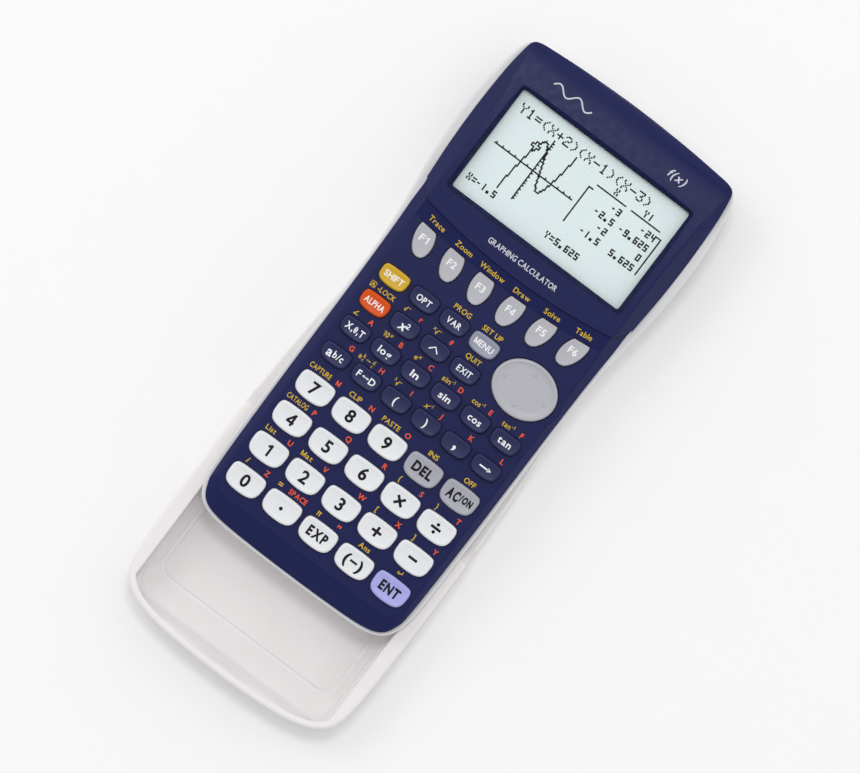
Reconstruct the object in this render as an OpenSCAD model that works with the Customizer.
// Graphing calculator lying on its back on its own slide-on hard case.
// +X is the right of the keyboard, +Y runs towards the display end, +Z comes out of the keys.
// The origin is on the table, below the centre of the whole outline.

/* [Body] */
// Length of the calculator without its case
body_l = 180.7; // [178:0.1:183]
// Width of the rear cover across the display, its widest place
display_w = 87.5; // [86:0.1:89]
// Width of the rear cover along the keyboard
keyboard_w = 79.2; // [78.6:0.1:79.8]
// Thickness of the calculator at the display
body_t = 21.3; // [21:0.1:22]
// Height of the keyboard panel above the back
panel_h = 19.2; // [19:0.1:19.4]
// How far the rear cover shows outside the keyboard panel
rim_w = 1.3; // [1:0.1:1.6]
// How far the rear cover shows outside the display bezel
display_rim_w = 2.95; // [2.6:0.05:3.2]
// Wall thickness of the rear cover
wall = 1.8; // [1.5:0.1:2]

/* [Slide case] */
// Distance that the case stands out past the keyboard end
case_out = 37.1; // [30:0.1:40]
// Outer width of the case where the walls are high
case_w = 85; // [84.6:0.1:85.4]
// Outer width of the case under the display
case_narrow_w = 78; // [77.8:0.1:78.4]
// Height of the high side walls, which end in a lip
case_h = 14; // [13.8:0.1:14]
// Height of the low side walls
case_low_h = 8; // [6:0.5:8.5]
// Thickness of the case floor
case_floor = 2; // [1.6:0.1:2]
// Gap between the two edges of the lips, which run in the grooves of the body
lip_gap = 75; // [74.8:0.1:75.2]

/* [Display] */
// Width of the clear opening over the screen
screen_w = 64; // [60:0.5:65]
// Height of the clear opening over the screen
screen_l = 37.1; // [34:0.1:38]
// Distance from the display end of the body to the middle of the screen
screen_from_top = 35; // [34.5:0.1:35.5]
// Width of the sloping frame round the screen, at each side
recess_side = 1.9; // [1.5:0.1:2.2]
// Depth of the sloping frame
recess_d = 2.3; // [2:0.1:2.4]

/* [Keys] */
// Width of a small key
small_w = 9.6; // [9:0.1:9.8]
// Length of a small key
small_l = 5.9; // [5.4:0.1:6.2]
// Distance between columns of small keys
small_pitch_x = 11.54; // [11.4:0.01:11.6]
// Distance between rows of small keys
small_pitch_y = 9.95; // [9.6:0.05:10.2]
// Width of a large key
large_w = 12.1; // [11.6:0.1:12.2]
// Length of a large key
large_l = 8; // [7.4:0.1:8.2]
// Distance between columns of large keys
large_pitch_x = 13.93; // [13.9:0.01:14]
// Distance between rows of large keys
large_pitch_y = 11.8; // [11.6:0.05:12]
// Width of a function key at its widest place
function_w = 7; // [6.6:0.1:7.2]
// Length of a function key
function_l = 9.5; // [9:0.1:9.8]
// Width of the cursor pad
pad_w = 21.6; // [20:0.1:21.8]
// Length of the cursor pad
pad_l = 18; // [17:0.1:18.4]
// How far the small and large keys stand out of the panel
key_out = 1.6; // [1.3:0.1:1.8]
// How far the function keys stand out of the panel
function_out = 0.9; // [0.6:0.1:1.2]
// How far the cursor pad stands out of the panel
pad_out = 1.2; // [0.8:0.1:1.4]
// Gap between a key and its hole
key_gap = 0.25; // [0.2:0.01:0.3]

/* [Hidden] */
eps = 0.01;
far = 60;

// Ends of the body and of the whole outline
top_y = (body_l + case_out) / 2;
end_y = top_y - body_l;
case_y = -top_y;

// Heights above the table
back_z = case_floor + 0.4;
panel_z = back_z + panel_h;
bezel_z = back_z + body_t;
seam_z = back_z + 15.1;
lip_z = case_h - 1.8;
rail_top_z = lip_z - 0.4;
rail_low_z = rail_top_z - 2.2;
rim_low_z = case_h + 0.4;
flank_low_z = case_low_h + 1.4;
floor_z = back_z + 1.6;
panel_under_z = panel_z - wall;
recess_z = bezel_z - recess_d;
bezel_under_z = recess_z - 0.8;

// Half widths
display_hw = display_w / 2;
keyboard_hw = keyboard_w / 2;
case_hw = case_w / 2;
case_narrow_hw = case_narrow_w / 2;
tub_hw = case_narrow_hw - wall - 0.4;
lip_hw = lip_gap / 2;
rail_hw = lip_hw + 1.1;
groove_hw = rail_hw + 0.4;
crease_hw = 35.85;
navy_hw = keyboard_hw - rim_w;
bezel_hw = display_hw - display_rim_w;

// Where the low parts of the body and of the case begin and end
flank_y = end_y + 80.3;
rail_y = [end_y + 9, end_y + 75];
lip_y = [case_y + 9, case_y + 72.8];
step_l = 4;
low_wall_end_y = top_y - case_out - 6;

// Slide case: gap to the tub, rim round the mouth, grooves for the rails, and tray in the floor
slide_gap = 0.4;
mouth_rim = 2.3;
groove_y = [case_y + 6.3, low_wall_end_y + 20];
tray_hw = 32.6;
tray_y = [case_y + 14.6, low_wall_end_y - 2];
tray_d = 0.9;

// How far the rim of the rear cover reaches under the panel and the bezel, and how far the tub
// stands back from the display end.
rim_overlap = 0.4;
tub_set_back = 0.6;

// Trough of the case, in which the tub of the body slides. Each level has its half width, its
// distance from the end of the case, its corner radius and its height above the case floor.
trough = [[33.6, 13.4, 5, 0], [36.3, 5.8, 7, 4.2], [tub_hw + slide_gap, 3.5, 8, 10.2]];

screen_y = top_y - screen_from_top;

// Smooth curves

// Point on a smooth curve between b and c, with a before them and d after them.
function between(a, b, c, d, t) =
    0.5 * (2 * b + (c - a) * t + (2 * a - 5 * b + 4 * c - d) * t * t
        + (3 * b - a - 3 * c + d) * t * t * t);

function flip(p) = [-p.x, p.y];

// Half of a symmetric outline, from the bottom centre to the top centre.
function half_curve(p, n) =
    let (last = len(p) - 1)
    [for (i = [0 : last - 1], s = [0 : n - 1])
        between(i == 0 ? flip(p[1]) : p[i - 1], p[i], p[i + 1],
                i == last - 1 ? flip(p[last - 1]) : p[i + 2], s / n),
     p[last]];

// Closed symmetric outline through the points of its right half.
function outline(p, n = 4) =
    let (h = half_curve(p, n))
    concat(h, [for (i = [len(h) - 2 : -1 : 1]) flip(h[i])]);

// Outline moved inwards by d, or outwards where d is negative.
function inset(p, d) =
    let (n = len(p))
    [for (i = [0 : n - 1])
        let (a = p[(i + n - 1) % n], b = p[(i + 1) % n], t = (b - a) / norm(b - a))
        p[i] + d * [-t.y, t.x]];

function ellipse(w, l, n = 64) =
    [for (i = [0 : n - 1]) [w / 2 * cos(360 * i / n), l / 2 * sin(360 * i / n)]];

// Rectangle from x = -hw to hw and y0 to y1, with one radius at each end.
function rounded(hw, y0, y1, r0, r1, n = 6) =
    concat([for (i = [0 : n]) [hw - r0, y0 + r0] + r0 * [sin(90 * i / n), -cos(90 * i / n)]],
           [for (i = [0 : n]) [hw - r1, y1 - r1] + r1 * [cos(90 * i / n), sin(90 * i / n)]],
           [for (i = [0 : n]) [r1 - hw, y1 - r1] + r1 * [-sin(90 * i / n), cos(90 * i / n)]],
           [for (i = [0 : n]) [r0 - hw, y0 + r0] + r0 * [-cos(90 * i / n), -sin(90 * i / n)]]);

// Outlines of the body and of the case

cover_half = [
    [0, end_y], [18, end_y + 0.2], [29, end_y + 0.9], [35.2, end_y + 3.5], [38.3, end_y + 9.2],
    [keyboard_hw - 0.2, end_y + 19.8], [keyboard_hw, end_y + 52], [keyboard_hw - 0.1, end_y + 92],
    [keyboard_hw + 1, end_y + 112.7], [display_hw - 0.85, end_y + 131.8], [display_hw, end_y + 149.8],
    [display_hw - 0.75, top_y - 18.7], [41.4, top_y - 8.4], [39.4, top_y - 3.7],
    [36.4, top_y - 2.25], [31, top_y - 1.65], [18, top_y - 0.75], [0, top_y - 0.25]];

front_half = [
    [0, end_y + 0.9], [16, end_y + 1.1], [27.5, end_y + 1.8], [33.6, end_y + 3.7], [36.5, end_y + 8],
    [navy_hw - 0.7, end_y + 15], [navy_hw - 0.1, end_y + 43], [navy_hw + 0.1, end_y + 84],
    [navy_hw + 0.5, end_y + 108], [navy_hw + 1.4, end_y + 125], [bezel_hw - 0.25, end_y + 138],
    [bezel_hw, end_y + 151.8], [bezel_hw - 0.45, top_y - 14.8], [39.4, top_y - 6.4],
    [38.5, top_y - 3.3], [36.2, top_y - 2], [31.5, top_y - 1.45], [18, top_y - 0.5], [0, top_y]];

case_half = [
    [0, case_y], [20, case_y + 0.8], [31, case_y + 2.7], [37.5, case_y + 6.1],
    [40.6, case_y + 11], [case_hw - 0.5, case_y + 21], [case_hw, case_y + 43],
    [case_hw - 0.1, case_y + 80], [case_hw - 1.1, case_y + 103], [case_narrow_hw + 0.9, case_y + 119],
    [case_narrow_hw, case_y + 139], [case_narrow_hw, case_y + 168], [38.2, case_y + 174.5],
    [35.3, case_y + 178.7], [30, case_y + 180.5], [20, case_y + 180.7], [0, case_y + 180.7]];

cover_outline = outline(cover_half);
front_outline = outline(front_half);
case_outline = outline(case_half);

// Line between the keyboard panel and the display bezel, and the crease below it.
function seam(x) = end_y + 115.8 + 0.0026 * x * x;
function crease(x) = end_y + 110.95 + 0.00185 * x * x;

seam_hw = 35.7;
seam_step = seam_hw / 10;
seam_line = [for (i = [-10 : 10]) [i * seam_step, seam(i * seam_step)]];
seam_end = [navy_hw + 1, end_y + 124.6];
tongue_y = [end_y + 113.3, end_y + 120];

// Everything below the seam, with a gap to what is above it.
function below_seam(gap) =
    concat([[-far, end_y - 10], [far, end_y - 10], [far, seam_end.y - gap], seam_end - [0, gap]],
           [for (i = [len(seam_line) - 1 : -1 : 0]) seam_line[i] - [0, gap]],
           [flip(seam_end) - [0, gap], [-far, seam_end.y - gap]]);

// Everything above the seam.
above_seam =
    concat([[-far, top_y + 10], [-far, seam_end.y], flip(seam_end)], seam_line,
           [seam_end, [far, seam_end.y], [far, top_y + 10]]);

// Keys

// Outline of a small or a large key: bowed at the top, with rounder corners at the bottom.
function cap_outline(w, l) =
    outline([[0, -0.5 * l], [0.25 * w, -0.471 * l], [0.406 * w, -0.373 * l], [0.481 * w, -0.186 * l],
             [0.5 * w, 0.05 * l], [0.495 * w, 0.27 * l], [0.448 * w, 0.424 * l],
             [0.354 * w, 0.475 * l], [0.1875 * w, 0.495 * l], [0, 0.5 * l]], 3);

// Outline of a function key: a shield with its straight edge along the crease. x is its place.
function shield_outline(w, l, x) =
    let (half = [[0, -0.5], [0.23, -0.45], [0.4, -0.27], [0.486, -0.04], [0.5, 0.15],
                 [0.465, 0.35], [0.42, 0.45]],
         right = [for (i = [0 : 5], s = [0 : 2])
                    between(i == 0 ? flip(half[1]) : half[i - 1], half[i], half[i + 1],
                            i == 5 ? half[6] : half[i + 2], s / 3)],
         loop = concat(right, [[0.4, 0.485], [0.355, 0.5], [-0.355, 0.5], [-0.4, 0.485]],
                       [for (i = [17 : -1 : 1]) flip(right[i])]),
         lean = sign(x) * (0.5 + 0.052 * abs(x)),
         tilt = 0.0037 * x)
    [for (p = loop) [p.x * w + lean * p.y, p.y * l + tilt * p.x * w * (p.y + 0.5)]];

small_first_y = end_y + 93.45;
large_first_y = end_y + 51.4;
function small_at(c, r) = [(c - 2.5) * small_pitch_x, small_first_y - r * small_pitch_y];
function large_at(c, r) = [(c - 2) * large_pitch_x, large_first_y - r * large_pitch_y];
function function_at(c) =
    let (x = (c - 2.5) * 11.4)
    [x, crease(x) - function_l / 2];
pad_at = [24, end_y + 90.2];

// Name, kind, column and row of every key.
KEYS = [
    ["key_f1", "function", 0, 0], ["key_f2", "function", 1, 0], ["key_f3", "function", 2, 0],
    ["key_f4", "function", 3, 0], ["key_f5", "function", 4, 0], ["key_f6", "function", 5, 0],
    ["key_shift", "small", 0, 0], ["key_option", "small", 1, 0], ["key_variables", "small", 2, 0],
    ["key_menu", "small", 3, 0],
    ["key_alpha", "small", 0, 1], ["key_square", "small", 1, 1], ["key_power", "small", 2, 1],
    ["key_exit", "small", 3, 1],
    ["key_x_theta_t", "small", 0, 2], ["key_log", "small", 1, 2], ["key_ln", "small", 2, 2],
    ["key_sin", "small", 3, 2], ["key_cos", "small", 4, 2], ["key_tan", "small", 5, 2],
    ["key_fraction", "small", 0, 3], ["key_f_to_d", "small", 1, 3],
    ["key_open_bracket", "small", 2, 3], ["key_close_bracket", "small", 3, 3],
    ["key_comma", "small", 4, 3], ["key_store", "small", 5, 3],
    ["key_7", "large", 0, 0], ["key_8", "large", 1, 0], ["key_9", "large", 2, 0],
    ["key_delete", "large", 3, 0], ["key_on", "large", 4, 0],
    ["key_4", "large", 0, 1], ["key_5", "large", 1, 1], ["key_6", "large", 2, 1],
    ["key_multiply", "large", 3, 1], ["key_divide", "large", 4, 1],
    ["key_1", "large", 0, 2], ["key_2", "large", 1, 2], ["key_3", "large", 2, 2],
    ["key_plus", "large", 3, 2], ["key_minus", "large", 4, 2],
    ["key_0", "large", 0, 3], ["key_point", "large", 1, 3], ["key_exponent", "large", 2, 3],
    ["key_negative", "large", 3, 3], ["key_execute", "large", 4, 3],
    ["cursor_pad", "pad", 0, 0]];

function key_at(k) =
    k[1] == "function" ? function_at(k[2]) :
    k[1] == "small" ? small_at(k[2], k[3]) :
    k[1] == "large" ? large_at(k[2], k[3]) : pad_at;

function key_outline(k) =
    k[1] == "function" ? shield_outline(function_w, function_l, key_at(k).x) :
    k[1] == "small" ? cap_outline(small_w, small_l) :
    k[1] == "large" ? cap_outline(large_w, large_l) : ellipse(pad_w, pad_l);

function key_stands_out(k) =
    k[1] == "function" ? function_out : k[1] == "pad" ? pad_out : key_out;

flange = 0.6;
pad_flange = 0.4;
flange_t = 0.8;
flange_top_z = panel_under_z - 0.08;
flange_z = flange_top_z - flange_t;
key_foot_z = flange_z - 1.2;
key_travel = 1;

navy = [0.18, 0.19, 0.34];
small_navy = [0.2, 0.21, 0.35];
pale_grey = [0.89, 0.9, 0.9];
mid_grey = [0.67, 0.68, 0.7];
gold = [0.78, 0.63, 0.18];
orange = [0.82, 0.3, 0.06];
lavender = [0.63, 0.63, 0.87];

function key_colour(k) =
    k[0] == "key_shift" ? gold :
    k[0] == "key_alpha" ? orange :
    k[0] == "key_menu" ? [0.53, 0.54, 0.61] :
    k[0] == "key_execute" ? lavender :
    k[0] == "key_delete" || k[0] == "key_on" ? mid_grey :
    k[1] == "small" ? small_navy :
    k[1] == "large" ? pale_grey : [0.72, 0.72, 0.75];

// Fastening, boards and batteries

// Six screws run up from the back into posts of the bezel and of the keyboard panel.
panel_screws = [for (s = [-1, 1]) [s * 26, end_y + 8]];
bezel_screws = concat([for (s = [-1, 1]) [s * 30.2, end_y + 120.8]],
                      [for (s = [-1, 1]) [s * 30.2, top_y - 7.9]]);
all_screws = concat(panel_screws, bezel_screws);
screw_r = 1;
screw_head_r = 1.8;
screw_head_z = back_z + 6;
screw_l = 10.5;
post_r = 2.3;
post_z = back_z + 11.5;

board_z = back_z + 11.8;
board_t = 1.2;
board_hw = 34.3;
board_y = [end_y + 9.8, top_y - 3.9];
mat_z = board_z + board_t + 0.05;
mat_t = 0.6;
dome_h = 0.4;
dome_r = 2.2;

battery_r = 5.25;
battery_l = 44.5;
battery_pitch = 11.4;
battery_z = back_z + 6.9;
battery_xs = [for (i = [-1.5 : 1 : 1.5]) i * battery_pitch];
bay_y = [end_y + 120.3, end_y + 167.8];
bay_hw = 24.5;
bay_top_z = battery_z + battery_r + 0.15;
battery_y0 = (bay_y[0] + bay_y[1] - battery_l) / 2;
door_hw = 23.8;
door_y = [bay_y[0] - 0.1, bay_y[1] + 0.1];

lcd_z = board_z + board_t + 0.4;
window_t = 1;
window_z = bezel_under_z - 0.05 - window_t;

usb_x = -12;
jack_x = 14;
socket_z = back_z + 9.6;
socket_y = [bay_y[1] + 2.4, top_y - 2.6];
jack_bore_r = 1.3;
jack_bore_l = 8.5;
nose_y = top_y - 0.8;

// Building blocks

// Solid with the plan p between two heights.
module slab(p, z0, z1) {
    translate([0, 0, z0])
        linear_extrude(z1 - z0)
            polygon(p);
}

// Box from x = -hw to hw, between two y values and two heights.
module block(hw, y, z) {
    translate([-hw, y[0], z[0]])
        cube([2 * hw, y[1] - y[0], z[1] - z[0]]);
}

// Prism along X whose outline is given as [y, z] points.
module along_x(p, hw = far) {
    translate([-hw, 0, 0])
        rotate([90, 0, 90])
            linear_extrude(2 * hw)
                polygon(p);
}

// Prism along Y whose outline is given as [x, z] points.
module along_y(p, y0, y1) {
    translate([0, y1, 0])
        rotate([90, 0, 0])
            linear_extrude(y1 - y0)
                polygon(p);
}

// Posts for screws, up to height z1.
module posts(places, z1) {
    for (p = places)
        translate([p.x, p.y, post_z])
            cylinder(h = z1 - post_z, r = post_r, $fn = 48);
}

// Holes in the posts for the threads of the screws.
module pilot_holes(places) {
    for (p = places)
        translate([p.x, p.y, post_z - eps])
            cylinder(h = 7, r = screw_r + 0.05, $fn = 32);
}

// Solid that fills the trough, drawn in by d, with its end at y = end and its bottom at z.
// It runs on to y1 and up to z1.
module trough_fill(end, d, z, y1, z1) {
    level = [for (t = trough) rounded(t[0] - d, end + t[1] + d, y1, t[2] - d, 2)];
    for (i = [0, 1])
        hull() {
            slab(level[i], z + trough[i][3], z + trough[i][3] + eps);
            slab(level[i + 1], z + trough[i + 1][3], z + trough[i + 1][3] + eps);
        }
    slab(level[2], z + trough[2][3], z1);
}

// Housing

// Flat top of the keyboard panel, with slopes down to both sides and to the keyboard end.
module panel_block() {
    slope_z = back_z + 15.5;
    hull() {
        slab(rounded(crease_hw, end_y + 7.6, end_y + 130, 6.5, 1), panel_z - eps, panel_z);
        slab(rounded(crease_hw + 3.3, end_y + 0.3, end_y + 130, 9, 1), slope_z, slope_z + eps);
    }
    slab(rounded(crease_hw + 3.3, end_y + 0.3, end_y + 130, 9, 1), seam_z, slope_z + eps);
}

// Strip that rises from the crease above the function keys to the seam of the bezel.
module panel_rise() {
    rise_z = panel_z + 1.2;
    crease_line = [for (i = [-10 : 10]) [i * crease_hw / 10, crease(i * crease_hw / 10)]];
    hull() {
        slab(concat(crease_line, [[crease_hw, end_y + 126], [-crease_hw, end_y + 126]]),
             panel_z - 0.1, panel_z);
        slab(concat(seam_line, [[seam_hw, end_y + 126], [-seam_hw, end_y + 126]]),
             rise_z - eps, rise_z);
    }
}

// Low bulge of the panel beside the cursor pad.
module pad_bulge() {
    translate([pad_at.x, pad_at.y, 0])
        slab(ellipse(pad_w + 5.4, pad_l + 5.4), panel_z - 2, panel_z);
}

module front_cover() {
    color(navy)
    difference() {
        union() {
            intersection() {
                slab(front_outline, seam_z, bezel_z);
                slab(below_seam(0.08), seam_z, bezel_z);
                union() {
                    panel_block();
                    panel_rise();
                    pad_bulge();
                }
            }
            // Tongue that hooks under the bezel.
            block(26, tongue_y, [seam_z + 0.1, seam_z + 1.2]);
            posts(panel_screws, panel_under_z + eps);
        }
        difference() {
            block(35.5, [end_y + 7.3, end_y + 114.3], [seam_z - eps, panel_under_z]);
            posts(panel_screws, panel_under_z + 1);
            block(26, tongue_y, [seam_z + 0.1, seam_z + 1.2]);
        }
        pilot_holes(panel_screws);
        for (k = KEYS)
            translate([key_at(k).x, key_at(k).y, 0])
                slab(inset(key_outline(k), -key_gap), seam_z - 1, bezel_z);
    }
}

// Side view of the bezel's top, [y, z] from the seam to the display end.
bezel_top = [
    [end_y + 110, bezel_z - 0.25], [end_y + 122, bezel_z - 0.1], [end_y + 133, bezel_z],
    [end_y + 146, bezel_z - 0.15], [end_y + 158, bezel_z - 0.6], [end_y + 168, bezel_z - 1.25],
    [end_y + 174.5, bezel_z - 2.1], [end_y + 178.3, bezel_z - 3.4], [end_y + 180.3, bezel_z - 5],
    [end_y + 181.2, bezel_z - 7]];

module bezel_block() {
    last = len(bezel_top) - 1;
    top = [for (i = [0 : last - 1], s = [0 : 3])
        between(bezel_top[max(i - 1, 0)], bezel_top[i], bezel_top[i + 1],
                bezel_top[min(i + 2, last)], s / 4)];
    intersection() {
        slab(front_outline, seam_z, bezel_z + 1);
        slab(above_seam, seam_z, bezel_z + 1);
        along_x(concat([[end_y + 110, seam_z - 1]], top, [bezel_top[last], [end_y + 181.2, seam_z - 1]]));
        along_y([[-41.3, seam_z - 0.2], [41.3, seam_z - 0.2], [crease_hw, bezel_z + 0.2],
                 [-crease_hw, bezel_z + 0.2]], end_y + 100, top_y + 1);
    }
}

// Opening over the screen: a sloping frame whose long edges are slightly bowed.
module screen_recess() {
    hw = screen_w / 2;
    hl = screen_l / 2;
    out = recess_side;
    wide = [[0, -hl - 2.2], [hw * 0.55, -hl - 2.05], [hw - 1, -hl - 1.75], [hw + out - 0.8, -hl - 1.1],
            [hw + out, -hl + 1.2], [hw + out, 0], [hw + out, hl - 0.4], [hw + out - 0.8, hl + 1.5],
            [hw - 1, hl + 2.1], [hw * 0.55, hl + 2.65], [0, hl + 2.95]];
    translate([0, screen_y, 0]) {
        hull() {
            slab(outline(wide, 3), bezel_z + 0.4, bezel_z + 0.5);
            slab(rounded(hw, -hl, hl, 0.8, 0.8, 3), recess_z, recess_z + eps);
        }
        slab(rounded(hw, -hl, hl, 0.8, 0.8, 3), bezel_under_z - 1, recess_z + eps);
    }
}

module display_bezel() {
    color(navy)
    difference() {
        union() {
            difference() {
                bezel_block();
                block(36, [end_y + 122.3, top_y - 6.9], [seam_z - 1, bezel_under_z]);
            }
            posts(bezel_screws, bezel_under_z + eps);
        }
        // Slot for the tongue of the keyboard panel.
        block(26.4, [end_y + 110, end_y + 120.4], [seam_z - 1, seam_z + 1.5]);
        screen_recess();
        pilot_holes(bezel_screws);
    }
}

// Tub that slides in the trough of the case, as seen with the case pushed fully on.
module tub() {
    intersection() {
        trough_fill(end_y, slide_gap, back_z, top_y - tub_set_back, seam_z);
        union() {
            translate([0, case_out, 0])
                slab(inset(case_outline, mouth_rim + slide_gap), back_z - 1, seam_z + 1);
            block(far, [end_y + 60, top_y + 12], [back_z - 1, seam_z + 1]);
        }
    }
}

// Back and side walls, without what is inside.
module rear_shell() {
    // Rails that run under the lips of the case.
    rail_half = [[tub_hw - 1, rail_y[0] - 2], [tub_hw + 0.1, rail_y[0]], [rail_hw, rail_y[0] + 7],
                 [rail_hw, rail_y[1]], [tub_hw - 1, rail_y[1]]];
    difference() {
        slab(cover_outline, back_z, seam_z);
        // What lies outside the tub, below the flanks and below the rim.
        difference() {
            union() {
                block(far, [end_y - 5, top_y + 8], [back_z - 1, flank_low_z]);
                block(far, [end_y - 6, flank_y], [back_z - 1, rim_low_z]);
            }
            tub();
        }
    }
    slab(concat(rail_half, [for (i = [4 : -1 : 0]) flip(rail_half[i])]), rail_low_z, rail_top_z);
}

// Hollow of the rear cover: narrow in the tub, wider in the flanks and in the rim.
module rear_hollow() {
    trough_fill(end_y, slide_gap + wall, floor_z, top_y - wall - 0.8, seam_z + 1);
    intersection() {
        slab(inset(cover_outline, wall + 0.2), rim_low_z + 1, seam_z + 2);
        slab(inset(front_outline, rim_overlap), rim_low_z, seam_z + 2);
    }
    intersection() {
        slab(inset(cover_outline, wall + 0.4), flank_low_z + 1.6, rim_low_z + 1.5);
        block(far, [flank_y + 1.6, top_y], [flank_low_z, rim_low_z + 2]);
    }
}

module rear_cover() {
    color(pale_grey)
    difference() {
        union() {
            difference() {
                rear_shell();
                rear_hollow();
            }
            // Battery bay and the screw wells stand on the floor.
            block(bay_hw + 1.3, [bay_y[0] - 1.3, bay_y[1] + 1.3], [floor_z - eps, bay_top_z + 0.8]);
            intersection() {
                tub();
                for (p = all_screws)
                    translate([p.x, p.y, back_z + eps])
                        cylinder(h = post_z - 0.1 - back_z, r = 2.8, $fn = 48);
            }
        }
        block(bay_hw, bay_y, [floor_z - 0.4, bay_top_z]);
        block(door_hw + 0.2, [door_y[0] - 0.2, door_y[1] + 0.2], [back_z - 1, floor_z - 0.4 + eps]);
        for (p = all_screws)
            translate([p.x, p.y, 0]) {
                translate([0, 0, back_z - 1])
                    cylinder(h = screw_head_z + 1 - back_z, r = screw_head_r + 0.25, $fn = 48);
                cylinder(h = post_z + 1, r = screw_r + 0.15, $fn = 32);
            }
        // Restart hole, and the mouths of the two sockets.
        translate([24, end_y + 102, back_z - 1])
            cylinder(h = 4, r = 1.25, $fn = 32);
        translate([usb_x - 4.1, top_y - 6, socket_z - 2.2])
            cube([8.2, 8, 4.4]);
        translate([jack_x, top_y - 6, socket_z])
            rotate([-90, 0, 0])
                cylinder(h = 8, r = 2.8, $fn = 48);
    }
}

module battery_cover() {
    color(pale_grey)
    difference() {
        block(door_hw, door_y, [back_z + 0.05, floor_z - 0.45]);
        // Finger hollow at the latch.
        translate([0, door_y[0] + 5, back_z - 1])
            cylinder(h = 1.5, r = 4, $fn = 48);
    }
}

// Display

module display_window() {
    color([0.85, 0.9, 0.9, 0.4])
        translate([0, screen_y, 0])
            slab(rounded(screen_w / 2 + 2, -screen_l / 2 - 2, screen_l / 2 + 2, 1, 1, 3),
                 window_z, window_z + window_t);
}

module lcd_module() {
    color([0.8, 0.85, 0.83]) {
        block(33.5, [screen_y - 22.4, screen_y + 22.8], [lcd_z, lcd_z + 1.2]);
        block(32.6, [screen_y - 20, screen_y + 20], [lcd_z + 1.2 - eps, window_z - 0.15]);
    }
}

// Boards

module circuit_board() {
    color([0.1, 0.35, 0.2])
    difference() {
        block(board_hw, board_y, [board_z, board_z + board_t]);
        block(bay_hw + 1.8, [bay_y[0] - 1.8, bay_y[1] + 1.8], [board_z - 1, board_z + 3]);
        for (p = all_screws)
            translate([p.x, p.y, board_z - 1])
                cylinder(h = 4, r = 2.9, $fn = 48);
    }
}

module key_mat() {
    color([0.75, 0.75, 0.78]) {
        block(board_hw, [end_y + 10.6, end_y + 114], [mat_z, mat_z + mat_t]);
        for (k = KEYS)
            translate([key_at(k).x, key_at(k).y, mat_z + mat_t - eps])
                cylinder(h = dome_h, r = dome_r, $fn = 32);
    }
}

// Batteries

// Cell along +Y from the origin, with its raised end last.
module cell() {
    rotate([-90, 0, 0]) {
        cylinder(h = battery_l - 0.8, r = battery_r, $fn = 64);
        translate([0, 0, battery_l - 0.8 - eps])
            cylinder(h = 0.8, r = 1.9, $fn = 32);
    }
}

// Neighbouring cells point opposite ways.
module batteries() {
    color([0.75, 0.6, 0.3])
    for (i = [0 : 3])
        translate([battery_xs[i], battery_y0 + (i % 2) * battery_l, battery_z])
            rotate([0, 0, 180 * (i % 2)])
                cell();
}

module battery_contacts() {
    gap = battery_y0 - bay_y[0] - 0.05;
    color([0.8, 0.8, 0.82])
    for (i = [0 : 3], e = [0, 1])
        translate([battery_xs[i], e == 0 ? bay_y[0] + 0.05 : bay_y[1] - 0.05, battery_z])
            rotate([e == 0 ? -90 : 90, 0, 0]) {
                translate([-4, -4, 0])
                    cube([8, 8, 0.4]);
                // A spring at the flat end of a cell, a small button at the raised end.
                if ((i + e) % 2 == 0)
                    cylinder(h = gap - 0.05, r1 = 3.6, r2 = 2.4, $fn = 32);
                else
                    cylinder(h = gap - 0.05, r = 1.5, $fn = 32);
            }
}

// Fasteners and sockets

module housing_screws() {
    color([0.6, 0.6, 0.62])
    for (p = all_screws)
        translate([p.x, p.y, screw_head_z - 0.03])
            difference() {
                union() {
                    translate([0, 0, -1.4])
                        cylinder(h = 1.4, r = screw_head_r, $fn = 48);
                    translate([0, 0, -eps])
                        cylinder(h = screw_l, r = screw_r, $fn = 32);
                }
                // Cross recess of the head.
                for (a = [0, 90])
                    rotate([0, 0, a])
                        translate([-1.1, -0.25, -1.5])
                            cube([2.2, 0.5, 0.9]);
            }
}

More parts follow.
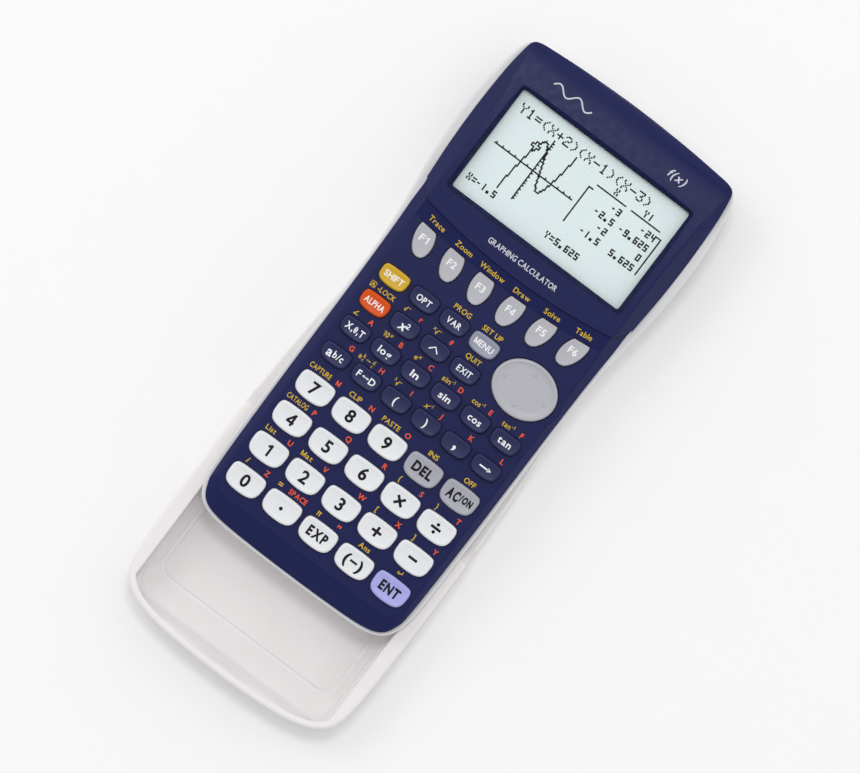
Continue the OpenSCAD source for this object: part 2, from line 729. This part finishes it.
module link_sockets() {
    color([0.25, 0.25, 0.27]) {
        // Five-pin socket of the data cable.
        difference() {
            union() {
                translate([usb_x - 4.4, socket_y[0], socket_z - 2.05])
                    cube([8.8, socket_y[1] - socket_y[0], 4.1]);
                translate([usb_x - 3.9, socket_y[1] - eps, socket_z - 1.95])
                    cube([7.8, nose_y - socket_y[1], 3.9]);
            }
            translate([usb_x - 3.5, nose_y - 6, socket_z - 1.55])
                cube([7, 8, 3.1]);
        }
        translate([usb_x - 2.2, socket_y[0] + 1, socket_z - 0.4])
            cube([4.4, nose_y - socket_y[0] - 2.2, 0.8]);
        // Three-pole jack of the link cable.
        difference() {
            union() {
                translate([jack_x - 3, socket_y[0], socket_z - 2.05])
                    cube([6, socket_y[1] - socket_y[0], 4.1]);
                translate([jack_x, socket_y[1] - eps, socket_z])
                    rotate([-90, 0, 0])
                        cylinder(h = nose_y - socket_y[1], r = 2.6, $fn = 48);
            }
            translate([jack_x, nose_y - jack_bore_l, socket_z])
                rotate([-90, 0, 0])
                    cylinder(h = jack_bore_l + 2, r = jack_bore_r, $fn = 32);
        }
    }
}

// Slide case

module slide_case() {
    step_y = lip_y[1] + step_l;
    wall_profile = [
        [case_y - 1, 0], [top_y - case_out + 1, 0], [top_y - case_out + 1, case_floor],
        [low_wall_end_y + 4, case_floor], [low_wall_end_y, case_low_h], [step_y, case_low_h],
        [lip_y[1], case_h], [case_y - 1, case_h]];
    inside = inset(case_outline, wall);
    mouth = inset(case_outline, mouth_rim);
    color([0.84, 0.83, 0.82])
    difference() {
        intersection() {
            slab(case_outline, 0, case_h);
            along_x(wall_profile);
        }
        intersection() {
            trough_fill(case_y, 0, case_floor, top_y, case_h + 1);
            union() {
                slab(mouth, case_floor - 1, case_h + 1);
                block(far, [case_y + 60, top_y], [case_floor - 1, case_h + 1]);
            }
        }
        // Mouth between the lips.
        intersection() {
            slab(mouth, lip_z - eps, case_h + 1);
            block(lip_hw, [case_y, top_y], [lip_z - 1, case_h + 2]);
        }
        // Grooves for the rails, under the lips.
        intersection() {
            slab(inside, case_low_h, lip_z);
            block(groove_hw, groove_y, [case_low_h - 1, lip_z + 1]);
        }
        intersection() {
            slab(inside, lip_z - eps, case_h + 1);
            block(groove_hw, [lip_y[1], top_y], [lip_z - 1, case_h + 2]);
        }
        // Shallow tray in the floor.
        slab(rounded(tray_hw, tray_y[0], tray_y[1], 4.2, 3), case_floor - tray_d, case_floor + 1);
    }
}

// Keys

// Cap on the panel, flange under the panel, and foot over its dome.
module key(k) {
    p = key_outline(k);
    color(key_colour(k))
    translate([key_at(k).x, key_at(k).y, 0]) {
        slab(p, flange_top_z - eps, panel_z + key_stands_out(k));
        slab(inset(p, k[1] == "pad" ? -pad_flange - key_gap : -flange), flange_z, flange_top_z);
        translate([-1.6, -1.2, key_foot_z])
            cube([3.2, 2.4, flange_z + eps - key_foot_z]);
    }
}

front_cover();
display_bezel();
rear_cover();
display_window();
lcd_module();
circuit_board();
key_mat();
battery_cover();
batteries();
battery_contacts();
housing_screws();
link_sockets();
slide_case();
for (k = KEYS)
    key(k);
